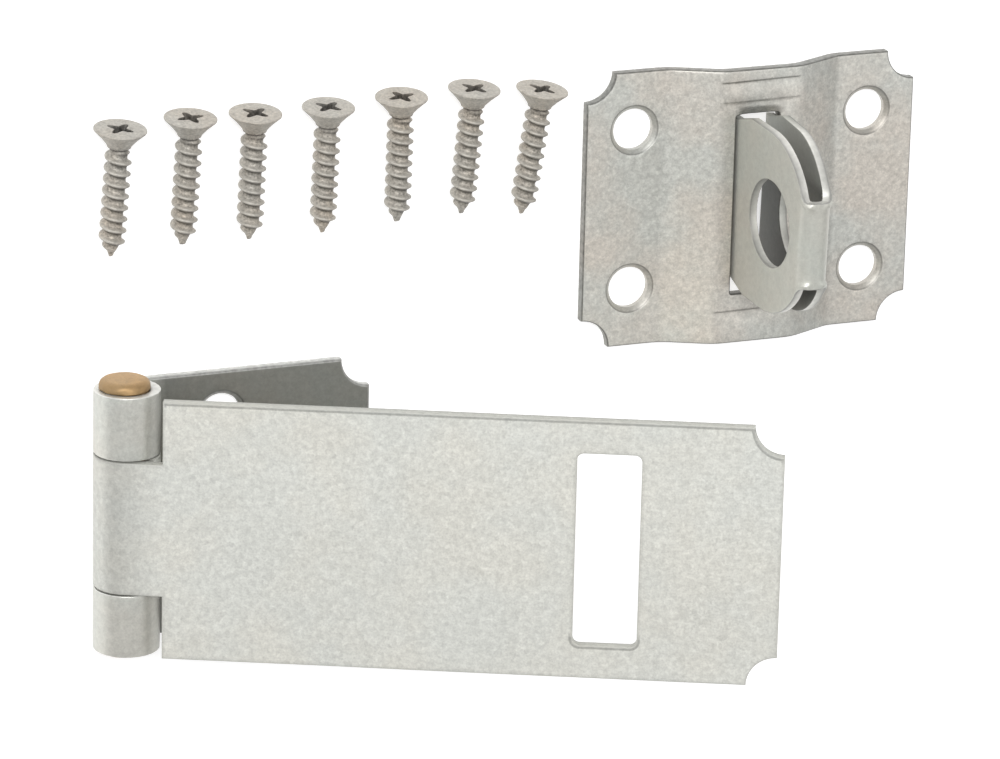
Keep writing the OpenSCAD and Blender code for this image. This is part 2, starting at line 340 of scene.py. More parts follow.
def sheet_solid(thickness, loops, spots, place, back_shade=unshaded, front_shade=unshaded):
    """A closed sheet with holes, made flat and put in place by a function of (s, v, height).

    Each of loops is an outline and its edge's profile. back_shade(s, v) is the painted shade on the back
    face, front_shade(s, v) the one on the front face."""
    shell = bmesh.new()
    rim = shell.verts.layers.float.new("rim")
    line = shell.verts.layers.float.new("line")
    fronts, backs = [], []
    for loop, profile in loops:
        loop = divided(loop)
        previous = None
        for shift, height, cut_edge_and_painted_light, dark in profile:
            flat = offset(loop, shift)
            ring = [shell.verts.new(place(s, v, height)) for s, v in flat]
            for (s, v), vert in zip(flat, ring):
                vert[rim] = cut_edge_and_painted_light
                vert[line] = max(dark, back_shade(s, v)) if height < BACK_LIP else dark
            if previous:
                bridge(shell, previous, ring)
            else:
                fronts.append((flat, ring))
            previous = ring
        backs.append((flat, ring))
    for rings, height, flip in ((fronts, thickness, False), (backs, 0, True)):
        flats = [flat for flat, _ in rings]
        border = np.concatenate(flats)
        free = spots[inside(spots, flats)]
        gap = np.array([np.min(np.hypot(*(border - spot).T)) for spot in free]).reshape(-1)
        free = free[gap > SPOT_CLEARANCE]
        made = [(spot, shell.verts.new(place(*spot, height))) for spot in free]
        for (s, v), vert in made:
            vert[line] = front_shade(s, v) if height else back_shade(s, v)
        fill(shell, rings, made, flip)
    return shell


def lathe(shell, profile, count, rim_layer, place):
    """A closed turned solid from (radius, height, rim) points, the first and last on the axis."""
    rings = []
    for radius, height, rim in profile[1:-1]:
        ring = []
        for i in range(count):
            angle = math.tau * i / count
            vert = shell.verts.new(place(radius * math.cos(angle), radius * math.sin(angle), height))
            vert[rim_layer] = rim
            ring.append(vert)
        rings.append(ring)
    for upper, lower in zip(rings, rings[1:]):
        bridge(shell, upper, lower)
    for ring, (_, height, rim), order in ((rings[0], profile[0], 1), (rings[-1], profile[-1], -1)):
        centre = shell.verts.new(place(0, 0, height))
        centre[rim_layer] = rim
        for i in range(count):
            corners = [ring[i], ring[(i + 1) % count], centre]
            shell.faces.new(corners[::order])


def finished_mesh(name, shell, sharp):
    """A shaded mesh from a closed shell, with its edges sharp from an angle in degrees."""
    bmesh.ops.recalc_face_normals(shell, faces=shell.faces)
    mesh = bpy.data.meshes.new(name)
    shell.to_mesh(mesh)
    shell.free()
    mesh.shade_smooth()
    mesh.set_sharp_from_angle(angle=math.radians(sharp))
    return mesh


def piece(name, shell, material, node, body, sharp=40):
    """Turns a shell into a finished piece that stands for its CAD node."""
    bmesh.ops.remove_doubles(shell, verts=shell.verts, dist=1e-7)
    show(name, finished_mesh(name, shell, sharp), material, node, body)


def show(name, mesh, material, node, body):
    """Puts a mesh in the scene and ties it to its CAD node, body and material slot."""
    made = bpy.data.objects.new(name, mesh)
    bpy.context.scene.collection.objects.link(made)
    mesh.materials.append(material)
    weighted = made.modifiers.new("weighted_normals", "WEIGHTED_NORMAL")
    weighted.keep_sharp = True
    weighted.weight = 80
    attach(made, body)
    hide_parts(node)


# ---- materials -----------------------------------------------------------------------

WARP_SIZE = 1.1
SPECK_SIZE = 0.9
CLOUD_SIZE = 14
BUMP_DEPTH = 0.03


def ramp(nodes, link, value, low, high, low_value, high_value):
    """A clamped linear map of a socket's value from one range to another."""
    made = nodes.new("ShaderNodeMapRange")
    made.inputs["From Min"].default_value = low
    made.inputs["From Max"].default_value = high
    made.inputs["To Min"].default_value = low_value
    made.inputs["To Max"].default_value = high_value
    link(value, made.inputs["Value"])
    return made.outputs[0]


def product(nodes, link, a, b):
    """Two sockets multiplied."""
    made = nodes.new("ShaderNodeMath")
    made.operation = "MULTIPLY"
    link(a, made.inputs[0])
    link(b, made.inputs[1])
    return made.outputs[0]


def scaled_plus(nodes, link, value, factor, added):
    """A socket times a number, plus another socket."""
    made = nodes.new("ShaderNodeMath")
    made.operation = "MULTIPLY_ADD"
    made.inputs[1].default_value = factor
    link(value, made.inputs[0])
    link(added, made.inputs[2])
    return made.outputs[0]


def vector_math(nodes, link, operation, first):
    """A vector node on one socket, whose other inputs are still to be set."""
    made = nodes.new("ShaderNodeVectorMath")
    made.operation = operation
    link(first, made.inputs[0])
    return made


def dimmed(nodes, link, colour, shade):
    """A colour socket times a value socket."""
    made = vector_math(nodes, link, "SCALE", colour)
    link(shade, made.inputs["Scale"])
    return made.outputs[0]


def blended(nodes, link, factor):
    """A colour mix by a socket, with inputs A and B still to be set."""
    made = nodes.new("ShaderNodeMix")
    made.data_type = "RGBA"
    link(factor, made.inputs["Factor"])
    return made


def noise_of(nodes, link, spot, size, detail):
    """A noise texture whose features have a size in millimetres."""
    made = nodes.new("ShaderNodeTexNoise")
    made.inputs["Scale"].default_value = 1 / (size * MM)
    made.inputs["Detail"].default_value = detail
    link(spot, made.inputs["Vector"])
    return made


def crystal_cells(nodes, link, spot, spangle):
    """Two random values for each crystal of the coat, whose borders are warped."""
    warp = noise_of(nodes, link, spot, WARP_SIZE, 2)
    centred = vector_math(nodes, link, "SUBTRACT", warp.outputs["Color"])
    centred.inputs[1].default_value = (0.5, 0.5, 0.5)
    scaled = vector_math(nodes, link, "SCALE", centred.outputs[0])
    scaled.inputs["Scale"].default_value = 1.4 * spangle * MM
    warped = vector_math(nodes, link, "ADD", spot)
    link(scaled.outputs[0], warped.inputs[1])
    cells = nodes.new("ShaderNodeTexVoronoi")
    cells.inputs["Scale"].default_value = 1 / (spangle * MM)
    link(warped.outputs[0], cells.inputs["Vector"])
    split = nodes.new("ShaderNodeSeparateColor")
    link(cells.outputs["Color"], split.inputs[0])
    return split.outputs[0], split.outputs[1]


def metal(name, base, cool, warm, rim, *, spangle=0.8, cell=0.1, mottle=0.35, grain=0.12, speck=0.06,
          rough=0.45, metallic=0.75, relief=0.3, rim_amount=0.8, rim_rough=0, painted_shade_amount=0.5,
          rim_light_rise=None, shade_along_x=None):
    """Coated metal: crystal cells, a fine mottle, specks, tinted clouds, a cut edge and dark lines.

    Sizes are in millimetres. cell, grain and speck are how far each pattern lightens or darkens the coat.
    The cut edge's colour is cut metal, painted lighter in some materials as painted highlight and darker
    in others as painted shade. The dark lines, from the line mark, are painted shade.
    rim_rough is how much rougher the cut edge is.
    rim_light_rise is (low, high, least): the cut edge's colour grows from least to full between two heights,
    a painted highlight that is strongest at the top.
    shade_along_x is (start, end, amount): the coat darkens by amount between two stations along X,
    a painted shade."""
    material = bpy.data.materials.new(name)
    material.use_nodes = True
    nodes, link = material.node_tree.nodes, material.node_tree.links.new
    shader = nodes["Principled BSDF"]
    shader.inputs["Metallic"].default_value = metallic
    spot = nodes.new("ShaderNodeTexCoord").outputs["Object"]
    place = nodes.new("ShaderNodeSeparateXYZ")
    link(spot, place.inputs[0])

    cell_tone, cell_height = crystal_cells(nodes, link, spot, spangle)
    fine = noise_of(nodes, link, spot, mottle, 6)
    fine.inputs["Roughness"].default_value = 0.65
    fine = fine.outputs["Fac"]
    specks = noise_of(nodes, link, spot, SPECK_SIZE, 3).outputs["Fac"]
    cloud = noise_of(nodes, link, spot, CLOUD_SIZE, 4).outputs["Fac"]

    tint = blended(nodes, link, ramp(nodes, link, cloud, 0.38, 0.62, 0, 1))
    tint.inputs["A"].default_value = (*[b * c for b, c in zip(base, cool)], 1)
    tint.inputs["B"].default_value = (*[b * w for b, w in zip(base, warm)], 1)
    cell_shade = ramp(nodes, link, cell_tone, 0, 1, 1 - cell, 1 + cell)
    fine_shade = ramp(nodes, link, fine, 0.3, 0.7, 1 - grain, 1 + grain)
    speck_shade = ramp(nodes, link, specks, 0.33, 0.67, 1 + speck, 1 - speck)
    shade = product(nodes, link, cell_shade, fine_shade)
    shade = product(nodes, link, shade, speck_shade)
    # Painted shade: the coat darkens between two stations along X.
    if shade_along_x:
        shaded_along_x = ramp(nodes, link, place.outputs[0], shade_along_x[0] * MM, shade_along_x[1] * MM, 1, 1 - shade_along_x[2])
        shade = product(nodes, link, shade, shaded_along_x)
    coat = dimmed(nodes, link, tint.outputs["Result"], shade)

    mark = nodes.new("ShaderNodeAttribute")
    mark.attribute_name = "rim"
    # The cut edge's colour, blended in by the rim mark and varied at random by the specks: cut metal,
    # painted lighter or darker for each material as painted highlight and painted shade.
    edge_wear_and_painted_light = ramp(nodes, link, specks, 0.35, 0.65, rim_amount, rim_amount * 0.6)
    amount = product(nodes, link, mark.outputs["Fac"], edge_wear_and_painted_light)
    # Painted highlight: the cut edge's colour grows towards the top.
    if rim_light_rise:
        rim_lit = ramp(nodes, link, place.outputs[2], rim_light_rise[0] * MM, rim_light_rise[1] * MM, rim_light_rise[2], 1)
        amount = product(nodes, link, amount, rim_lit)
    edge = blended(nodes, link, amount)
    link(coat, edge.inputs["A"])
    edge.inputs["B"].default_value = (*rim, 1)

    # Painted shade: the line mark darkens creases, recesses, rims and hollows.
    shade_mark = nodes.new("ShaderNodeAttribute")
    shade_mark.attribute_name = "line"
    dark = ramp(nodes, link, shade_mark.outputs["Fac"], 0, 1, 1, 1 - painted_shade_amount)
    link(dimmed(nodes, link, edge.outputs["Result"], dark), shader.inputs["Base Color"])

    coat_rough = ramp(nodes, link, fine, 0.3, 0.7, rough - 0.07, rough + 0.07)
    roughness = scaled_plus(nodes, link, mark.outputs["Fac"], rim_rough, coat_rough)
    link(roughness, shader.inputs["Roughness"])

    bump = nodes.new("ShaderNodeBump")
    bump.inputs["Strength"].default_value = relief
    bump.inputs["Distance"].default_value = BUMP_DEPTH * MM
    link(scaled_plus(nodes, link, cell_height, 0.5, fine), bump.inputs["Height"])
    link(bump.outputs["Normal"], shader.inputs["Normal"])
    return material


# The strap's knuckle darkens by up to 30 percent towards -X, and its cut edges are painted darker than its
# face: painted shade.
strap_steel = metal("strap_galvanised", (0.8, 0.8, 0.75), (0.99, 1.0, 1.0), (1.01, 1.0, 0.98),
                    (0.5, 0.5, 0.47), cell=0.045, grain=0.1, speck=0.07, rim_rough=0.4, painted_shade_amount=0.95,
                    shade_along_x=(PIN_X + 3, PIN_X - 5, 0.3))
# The leaf's coat darkens by 66 percent between 3 and 8 mm past the pin's axis and stays so across its face:
# painted shade of the strap above it. Its cut edges are painted lighter: cut metal and painted highlight.
leaf_steel_shaded = metal("leaf_galvanised_shaded", (0.6, 0.6, 0.56), (0.98, 1.0, 1.0), (1.02, 1.0, 0.98),
                   (0.8, 0.8, 0.77), cell=0.03, grain=0.09, speck=0.05, painted_shade_amount=0.6,
                   shade_along_x=(PIN_X + 3, PIN_X + 8, 0.66))
# The plate's cut edges, slot and countersinks are painted much darker than its face: painted shade.
plate_steel = metal("plate_galvanised", (0.6, 0.585, 0.545), (0.975, 1.005, 1.01), (1.035, 0.995, 0.965),
                    (0.12, 0.12, 0.11), cell=0.06, grain=0.16, speck=0.09)
# The loop's cut edges are painted lighter, more so towards its top: cut metal and painted highlight.
loop_steel = metal("loop_galvanised", (0.53, 0.53, 0.49), (0.98, 1.0, 0.99), (1.02, 1.0, 0.98),
                   (0.78, 0.77, 0.73), cell=0.03, grain=0.07, speck=0.035, metallic=0.5, painted_shade_amount=0.75,
                   rim_light_rise=(9, 20, 0.05))
# The head's underside and rounded side take this darker rim colour: painted shade.
pin_brass = metal("pin_brass", (0.45, 0.295, 0.148), (0.95, 1.0, 1.08), (1.04, 1.0, 0.9),
                  (0.25, 0.165, 0.075), cell=0.04, grain=0.16, rough=0.55, metallic=0.65)
# The screws' head and thread crests take the lighter rim colour, a painted highlight; the line mark paints
# shadow in the recess and on the thread.
screw_zinc = metal("screw_zinc", (0.37, 0.345, 0.305), (0.98, 1.0, 1.02), (1.05, 1.0, 0.95),
                   (0.52, 0.5, 0.455), cell=0.1, grain=0.6, speck=0.1, spangle=0.5, mottle=0.4,
                   rough=0.62, metallic=0.5, relief=0.6, painted_shade_amount=0.75)


# ---- hasp ------------------------------------------------------------------------------


def ripple(s, v, seed, amount, reach=16):
    """A slight unevenness of rolled sheet, in millimetres."""
    return amount * noise.noise(Vector((s / reach, v / reach, seed)))


def curled(s, v, height):
    """Bends a flat blank round the pin: s is its distance from the pin, negative along the curl."""
    if s >= 0:
        return Vector((s, v, height - KNUCKLE_R))
    angle = -s / (KNUCKLE_R - SHEET / 2)
    radius = KNUCKLE_R - height
    return Vector((-radius * math.sin(angle), v, -radius * math.cos(angle)))


def on_leaf(s, v, height):
    """A point of the leaf's blank, curled over the pin."""
    swell = ripple(s, v, 1.5, 0.03) if s > 0 else 0
    point = curled(s, v, height)
    return (point + Vector((PIN_X, 0, PIN_Z + max(swell, 0)))) * MM


def on_strap(s, v, height):
    """A point of the strap's blank, curled under the pin and swung open."""
    point = curled(s, v, height)
    point.z += ripple(s, v, 7.5, 0.09) * min(1, max(0, s / 15))
    point.z = -point.z
    point.rotate(Euler((0, math.radians(-STRAP_OPEN), 0)))
    return (point + Vector((PIN_X, 0, PIN_Z))) * MM


def hinge_blank(length, width, fingers):
    """A sheet's outline with notched corners and one finger for each pair in fingers, anticlockwise."""
    half = width / 2
    loop = [(SHOULDER_X, -half)] if fingers[0][0] > -half + 0.01 else []
    loop += arc((length, -half), NOTCH_R, 180, 90)
    loop += arc((length, half), NOTCH_R, 270, 180)
    if fingers[-1][1] < half - 0.01:
        loop += [(SHOULDER_X, half)]
    for low, high in reversed(fingers):
        if high < half - 0.01:
            loop.append((SHOULDER_X, high))
        loop += [(CURL_END, high), (CURL_END, low)]
        if low > -half + 0.01:
            loop.append((SHOULDER_X, low))
    return loop


def hinge_spots(length, width):
    """Free points of a hinge blank: close rows round the curl, wide ones over the flat."""
    rows = lines(CURL_END + 0.4, 0, 0.4) + lines(0.8, SHOULDER_X, 0.9)
    rows += lines(SHOULDER_X + 1.5, length, 2.2)
    return grid(rows, lines(-width / 2, width / 2, 1.7))


def make_leaf():
    """The fixed leaf with its two outer knuckles and three countersunk holes."""
    half = LEAF_W / 2
    fingers = [(-half, -half + OUTER_KNUCKLE), (half - OUTER_KNUCKLE, half)]
    cut = edge_profile(SHEET, 0.4, 0.15)
    sunk = sunk_profile(SHEET, SINK_R - HOLE_R, 0.1)
    loops = [(hinge_blank(LEAF_LEN, LEAF_W, fingers), cut)]
    for centre in ((-PIN_X, -LEAF_PAIR), (-PIN_X, LEAF_PAIR), (LEAF_SINGLE, 0)):
        loops.append((circle(centre, HOLE_R), sunk))
    shell = sheet_solid(SHEET, loops, hinge_spots(LEAF_LEN, LEAF_W), on_leaf)
    piece("leaf_plate", shell, leaf_steel_shaded, "hinge_leaf", "leaf")


def edge_band_shade(s, v):
    """How dark the painted shade is on the strap's face in a narrow band beside its edges that face +Y."""
    gaps = [STRAP_W / 2 - v, math.hypot(s - STRAP_LEN, v - STRAP_W / 2) - NOTCH_R]
    below = SLOT_CORNER - SLOT_HALF[1] - v
    if below > 0:
        beside = max(0, abs(s - SLOT_X) - SLOT_HALF[0] + SLOT_CORNER)
        gaps.append(math.hypot(beside, below) - SLOT_CORNER)
    from_middle = min(abs(gap - 0.37) for gap in gaps)
    return 0.45 * soft_step(1.4 - from_middle / 0.2)


def make_strap():
    """The swinging strap with its middle knuckle and its slot."""
    cut = shaded_edge_profile(SHEET, 0.2, 0.08)
    loops = [
        (hinge_blank(STRAP_LEN, STRAP_W, [(-MIDDLE_HALF, MIDDLE_HALF)]), cut),
        (rounded_box((SLOT_X, 0), SLOT_HALF, SLOT_CORNER), cut),
    ]
    # The strap's back face, which faces up, gets a band of painted shade beside its +Y edges.
    shell = sheet_solid(SHEET, loops, hinge_spots(STRAP_LEN, STRAP_W), on_strap, edge_band_shade)
    piece("strap_plate", shell, strap_steel, "hasp_strap", "strap")


def make_pin():
    """The pin: a shank, a formed head and a smaller riveted one, both with round rims painted darker as
    painted shade.
    """
    half = LEAF_W / 2 + PIN_PLAY
    top, bottom = PIN_HIGH.y, PIN_LOW.y

    def head(face, seat, sign):
        dome, corner = 0.13, 1.25
        rise = abs(face - seat) * 0.8 - 0.15
        steps = [math.radians(a) for a in (0, 15, 30, 45, 60, 75, 88)]
        # The third value is the rim mark: it paints the head's underside and rounded side darker, a painted
        # shade.
        under = [(PIN_R, seat, 1), (PIN_HEAD_R - 0.15, seat, 1), (PIN_HEAD_R, seat + sign * 0.12, 1)]
        round_over = [(PIN_HEAD_R - corner * (1 - math.cos(a)),
                       face - sign * (dome + rise * (1 - math.sin(a))), 0.8 * math.cos(a)) for a in steps]
        crown = [(r, face - sign * dome * (r / 3.05) ** 2, 0) for r in (2.6, 2.0, 1.3, 0.6)]
        return under + round_over + crown + [(0, face, 0)]

    profile = head(top, half, 1)[::-1] + [(PIN_R, 0, 0)] + head(bottom, -half, -1)
    shell = bmesh.new()
    rim_layer = shell.verts.layers.float.new("rim")

    def on_pin(x, y, height):
        if abs(height) < half + 0.01 and math.hypot(x, y) < PIN_R + 0.01:
            return Vector((PIN_X + x, height, PIN_Z + y)) * MM
        dent = 1 + 0.03 * noise.noise(Vector((x, y, height)) * 0.9)
        aside, up = PIN_HEAD_SHIFT
        return Vector((PIN_X + x * dent + aside, height, PIN_Z + y * dent + up)) * MM

    lathe(shell, profile, 72, rim_layer, on_pin)
    piece("pin_body", shell, pin_brass, "hinge_pin", "leaf", 50)


# ---- staple ----------------------------------------------------------------------------


def bent_path(points, radii):
    """A path of straight runs and arcs: a function s -> (point, left normal) and its whole length.

    s is the station along the path, 0 halfway. Each of runs is (start, direction, length, turn)."""
    runs = []
    at = Vector(points[0])
    for before, here, after, radius in zip(points, points[1:], points[2:], radii):
        before, here, after = Vector(before), Vector(here), Vector(after)
        u, w = (here - before).normalized(), (after - here).normalized()
        turn = math.atan2(u.cross(w), u.dot(w))
        cut = radius * math.tan(abs(turn) / 2)
        start = here - u * cut
        runs.append((at, u, (start - at).length, 0))
        runs.append((start, u, abs(turn) * radius, turn))
        at = here + w * cut
    last = Vector(points[-1])
    runs.append((at, (last - at).normalized(), (last - at).length, 0))
    whole = sum(run[2] for run in runs)

    def find(s):
        s += whole / 2
        k = 0
        while s > runs[k][2] and k < len(runs) - 1:
            s -= runs[k][2]
            k += 1
        start, along, length, turn = runs[k]
        normal = Vector((-along.y, along.x))
        if not turn:
            return start + along * s, normal
        side = 1 if turn > 0 else -1
        radius = length / abs(turn)
        angle = turn * s / length
        rotated = Vector((normal.x * math.cos(angle) - normal.y * math.sin(angle),
                          normal.x * math.sin(angle) + normal.y * math.cos(angle)))
        return start + side * radius * normal - side * radius * rotated, rotated

    return find, whole


plate_path, plate_length = bent_path(
    [(-PLATE_HALF[0], SHEET / 2), (-BAND_FOOT, SHEET / 2), (-BAND_HALF, BAND_RISE + SHEET / 2),
     (BAND_HALF, BAND_RISE + SHEET / 2), (BAND_FOOT, SHEET / 2), (PLATE_HALF[0], SHEET / 2)],
    [LEFT_FOOT_BEND, BAND_BEND, BAND_BEND, RIGHT_FOOT_BEND])


def coining(s, v):
    """Press marks round the plate's slot: small steps across the band and a lip rolled into the slot."""
    across = soft_step((7.2 - abs(s + 0.2)) / 0.9)
    depth = 0
    for at, deep, wide, run, _ in CREASES:
        below = at + CREASE_SKEW * s - v
        depth -= deep * soft_step(below / wide) * soft_step((run - below) / run)
    near = soft_step((4.3 - abs(s - PLATE_SLOT_AT[0] - 0.4)) / 1.8)
    if v > PLATE_SLOT_TOP - 1:
        depth -= 0.75 * near * soft_step((PLATE_SLOT_TOP + 1.5 - v) / 1.5)
    return depth * across


def creases_dark(s, v):
    """How dark the painted shade of the press marks is: a line along each crease and a patch beside the
    slot's lip.
    """
    across = soft_step((7.4 - abs(s + 0.2)) / 0.9)
    dark = 0
    for at, _, _, _, strong in CREASES:
        beside = abs(v - (at + CREASE_SKEW * s) + 0.08)
        dark = max(dark, strong * across * soft_step(1 - beside / 0.25))
    lip_shade = soft_step(1 - abs(v - PLATE_SLOT_TOP - 3) / 4.5) * soft_step((7.5 - abs(s + 1.5)) / 4)
    return min(1, dark + 0.32 * lip_shade)


def on_plate(s, v, height):
    """A point of the plate's blank, bent over the raised band and kept above the surface it lies on."""
    point, normal = plate_path(s)
    lift = height - SHEET / 2 + coining(s, v) + ripple(s, v, 3.5, 0.05)
    point = point + normal * lift
    return Vector((STAPLE_X + point.x, STAPLE_Y + v, max(point.y, 0.002 * height))) * MM


def make_plate():
    """The staple's mounting plate with its raised band, its slot and four countersunk holes."""
    wide = plate_length / 2
    high = PLATE_HALF[1]
    stretch = wide - PLATE_HALF[0]
    outer = []
    for sx, sy, start in ((1, -1, 180), (1, 1, 270), (-1, 1, 0), (-1, -1, 90)):
        outer += arc((sx * wide, sy * high), NOTCH_R, start, start - 90)
    cut = edge_profile(SHEET, 0.25, 0.12)
    sunk = sunk_profile(SHEET, SINK_R - HOLE_R, 0.1)
    loops = [(outer, cut)]
    for sx in (-1, 1):
        for sy in (-1, 1):
            loops.append((circle((sx * (PLATE_HOLE[0] + stretch), sy * PLATE_HOLE[1]), HOLE_R), sunk))
    loops.append((rounded_box(PLATE_SLOT_AT, PLATE_SLOT_HALF, 0.35), edge_profile(SHEET, 0.3, 0.1)))
    top, bottom = PLATE_SLOT_TOP, PLATE_SLOT_BOTTOM
    rows = lines(-wide, -17, 2) + lines(-16.6, -8.6, 0.4) + lines(-8.2, 8.2, 0.55)
    rows += lines(8.6, 16.6, 0.4) + lines(17, wide, 2)
    columns = lines(-high, bottom - 4.5, 1.2) + lines(bottom - 4.2, bottom, 0.24)
    columns += lines(bottom + 1.2, top - 1, 1.6) + lines(top, top + 7.4, 0.24) + lines(top + 7.6, high, 0.6)
    spots = [grid(rows, columns)]
    for at, *_ in CREASES:
        spots.append(np.array([(s, at + CREASE_SKEW * s + shift) for s in lines(-8, 8, 0.5)
                               for shift in (0.12, 0.02, -0.08, -0.18, -0.28)]))
    # The plate's front face carries the painted shade of its creases and of the slot's lip.
    shell = sheet_solid(SHEET, loops, np.concatenate(spots), on_plate, front_shade=creases_dark)
    piece("mounting_plate", shell, plate_steel, "staple_plate", "staple")


loop_path, loop_length = bent_path(
    [(-FOOT_HALF, FOOT_Z), (-LOOP_BASE, FOOT_Z), (-LOOP_FOLD, LOOP_TOP - STRIP / 2),
     (LOOP_FOLD, LOOP_TOP - STRIP / 2), (LOOP_BASE, FOOT_Z), (FOOT_HALF, FOOT_Z)],
    [FOOT_BEND, FOLD_BEND, FOLD_BEND, FOOT_BEND])


def half_width(z):
    """Half width of the loop's strip at a height above the plate's back."""
    if z <= CHEEK_BASE_Z:
        return CHEEK_BASE
    if z <= CHEEK_ARC_Z:
        grown = min(1, (z - CHEEK_BASE_Z) / (CHEEK_WIDE_Z - CHEEK_BASE_Z))
        return CHEEK_BASE + (CHEEK_HALF - CHEEK_BASE) * grown
    rise = min(z - CHEEK_ARC_Z, SHOULDER_R * 0.999)
    return max(FOLD_HALF, CHEEK_HALF - SHOULDER_R + math.sqrt(SHOULDER_R ** 2 - rise ** 2))


def on_loop(s, v, height):
    """A point of the loop's strip, folded, flared at the fold's ends, leaning in the plate's slot."""
    point, normal = loop_path(s)
    edge = half_width(point.y) - abs(v)
    flare = 0.4 * math.exp(-((edge - 0.55) / 0.5) ** 2) * soft_step((3.4 - abs(s)) / 1.2) * (height / STRIP)
    point = point + normal * (height - STRIP / 2 + flare)
    place = Vector((point.x, v, min(point.y, LOOP_TOP)))
    place.rotate(Euler((math.radians(LOOP_LEAN), 0, 0)))
    shift = Vector((STAPLE_X + PLATE_SLOT_AT[0], STAPLE_Y + PLATE_SLOT_AT[1] + LOOP_SHIFT, 0))
    return (place + shift) * MM


def path_s(path, length, height):
    """Where the right half of a falling path crosses a height."""
    low, high = 0, length / 2
    for _ in range(40):
        middle = (low + high) / 2
        if path(middle)[0].y > height:
            low = middle
        else:
            high = middle
    return low


def shadowed(s, v):
    """How dark the loop's inside is: dark round the eye and lighter towards the open end of its gap."""
    return 0.95 - 0.55 * soft_step((v - EYE_R - 0.5) / 2.5)


def make_loop():
    """The staple's loop: one strip folded at its top, with two feet and an eye through both cheeks."""
    low_s = path_s(loop_path, loop_length, CHEEK_LOW_Z)
    side = [(s, half_width(loop_path(s)[0].y)) for s in lines(-low_s, low_s, 0.4)]
    feet = [(loop_length / 2, FOOT_REACH), (low_s, FOOT_REACH)]
    half_loop = [(-s, w) for s, w in feet] + side + [(s, w) for s, w in reversed(feet)]
    outer = [(s, -w) for s, w in half_loop] + [(s, w) for s, w in reversed(half_loop)]
    cut = edge_profile(STRIP, 0.14, 0.1)
    eye_s = path_s(loop_path, loop_length, EYE_Z)
    loops = [(outer, cut)] + [(circle((sign * eye_s, 0), EYE_R, 80), cut) for sign in (-1, 1)]
    half = loop_length / 2
    rows = (lines(-half, -half + 4.5, 0.35) + lines(-half + 5.5, -4, 1.3) + lines(-3.6, 3.6, 0.25)
            + lines(4, half - 5.5, 1.3) + lines(half - 4.5, half, 0.35))
    columns = lines(-CHEEK_HALF, -FOLD_HALF - 1, 1.1) + lines(-FOLD_HALF - 0.6, -FOLD_HALF + 1.4, 0.25)
    columns += lines(-FOLD_HALF + 2.2, FOLD_HALF - 2.2, 1.4)
    columns += [-v for v in columns if v < -FOLD_HALF + 1.5]
    shell = sheet_solid(STRIP, loops, grid(rows, columns), on_loop, shadowed)
    piece("folded_loop", shell, loop_steel, "staple_loop", "staple")


# ---- screws ----------------------------------------------------------------------------


def cross_loop(span, width):
    """Outline of a cross recess, clockwise, with round arm ends and small fillets between the arms."""
    arm = [(width / 2 + 0.16, width * 0.5), (span * 0.34, width * 0.4), (span * 0.45, width * 0.27),
           (span / 2, width * 0.1), (span / 2, -width * 0.1), (span * 0.45, -width * 0.27),
           (span * 0.34, -width * 0.4), (width / 2 + 0.16, -width * 0.5),
           (width / 2 + 0.04, -width / 2 - 0.04)]
    loop = []
    for k in range(4):
        a = math.radians(-90 * k)
        loop += [(x * math.cos(a) - y * math.sin(a), x * math.sin(a) + y * math.cos(a)) for x, y in arm]
    return loop


def round_points(radius):
    """Points round a screw's axis."""
    angles = [math.tau * i / SCREW_SIDES for i in range(SCREW_SIDES)]
    return [(radius * math.cos(a), radius * math.sin(a)) for a in angles]


def marked_ring(shell, points, z, mark):
    """Vertices at one height, marked with the lighter rim colour as painted highlight where mark is positive
    and as painted shadow where negative.
    """
    rim, line = shell.verts.layers.float["rim"], shell.verts.layers.float["line"]
    made = [shell.verts.new(Vector((x, y, z)) * MM) for x, y in points]
    for vert in made:
        vert[rim] = max(0, mark)
        vert[line] = max(0, -mark)
    return made


def screw_face(shell):
    """A screw's flat face with its cross recess, which tapers to a floor of painted shade. Returns the
    face's rim.
    """
    shrunk = 1 - 0.22 / HEAD_R
    face = [(x * shrunk, y * shrunk) for x, y in round_points(HEAD_R)]
    # Painted highlight: the face takes the lighter rim colour.
    face_ring = marked_ring(shell, face, 0, 0.8)
    recess = []
    # Painted shade: the recess darkens towards its floor.
    for depth, shrink, mark in ((0, 1.0, 0.6), (0.05, 0.96, -0.8), (0.4, 0.86, -1),
                                (1.2, 0.66, -1), (1.9, 0.46, -1), (2.15, 0.3, -1)):
        loop = cross_loop(RECESS_SPAN * shrink, RECESS_WIDTH * (0.45 + 0.55 * shrink))
        recess.append((loop, marked_ring(shell, loop, -depth, mark)))
    fill(shell, [(np.array(face), face_ring), (np.array(recess[0][0]), recess[0][1])], [], False)
    for (_, upper), (_, lower) in zip(recess, recess[1:]):
        bridge(shell, upper, lower)
    floor = shell.verts.new(Vector((0, 0, -2.25)) * MM)
    floor[shell.verts.layers.float["line"]] = 1
    last = recess[-1][1]
    for i in range(len(last)):
        shell.faces.new([last[i], floor, last[(i + 1) % len(last)]])
    return face_ring


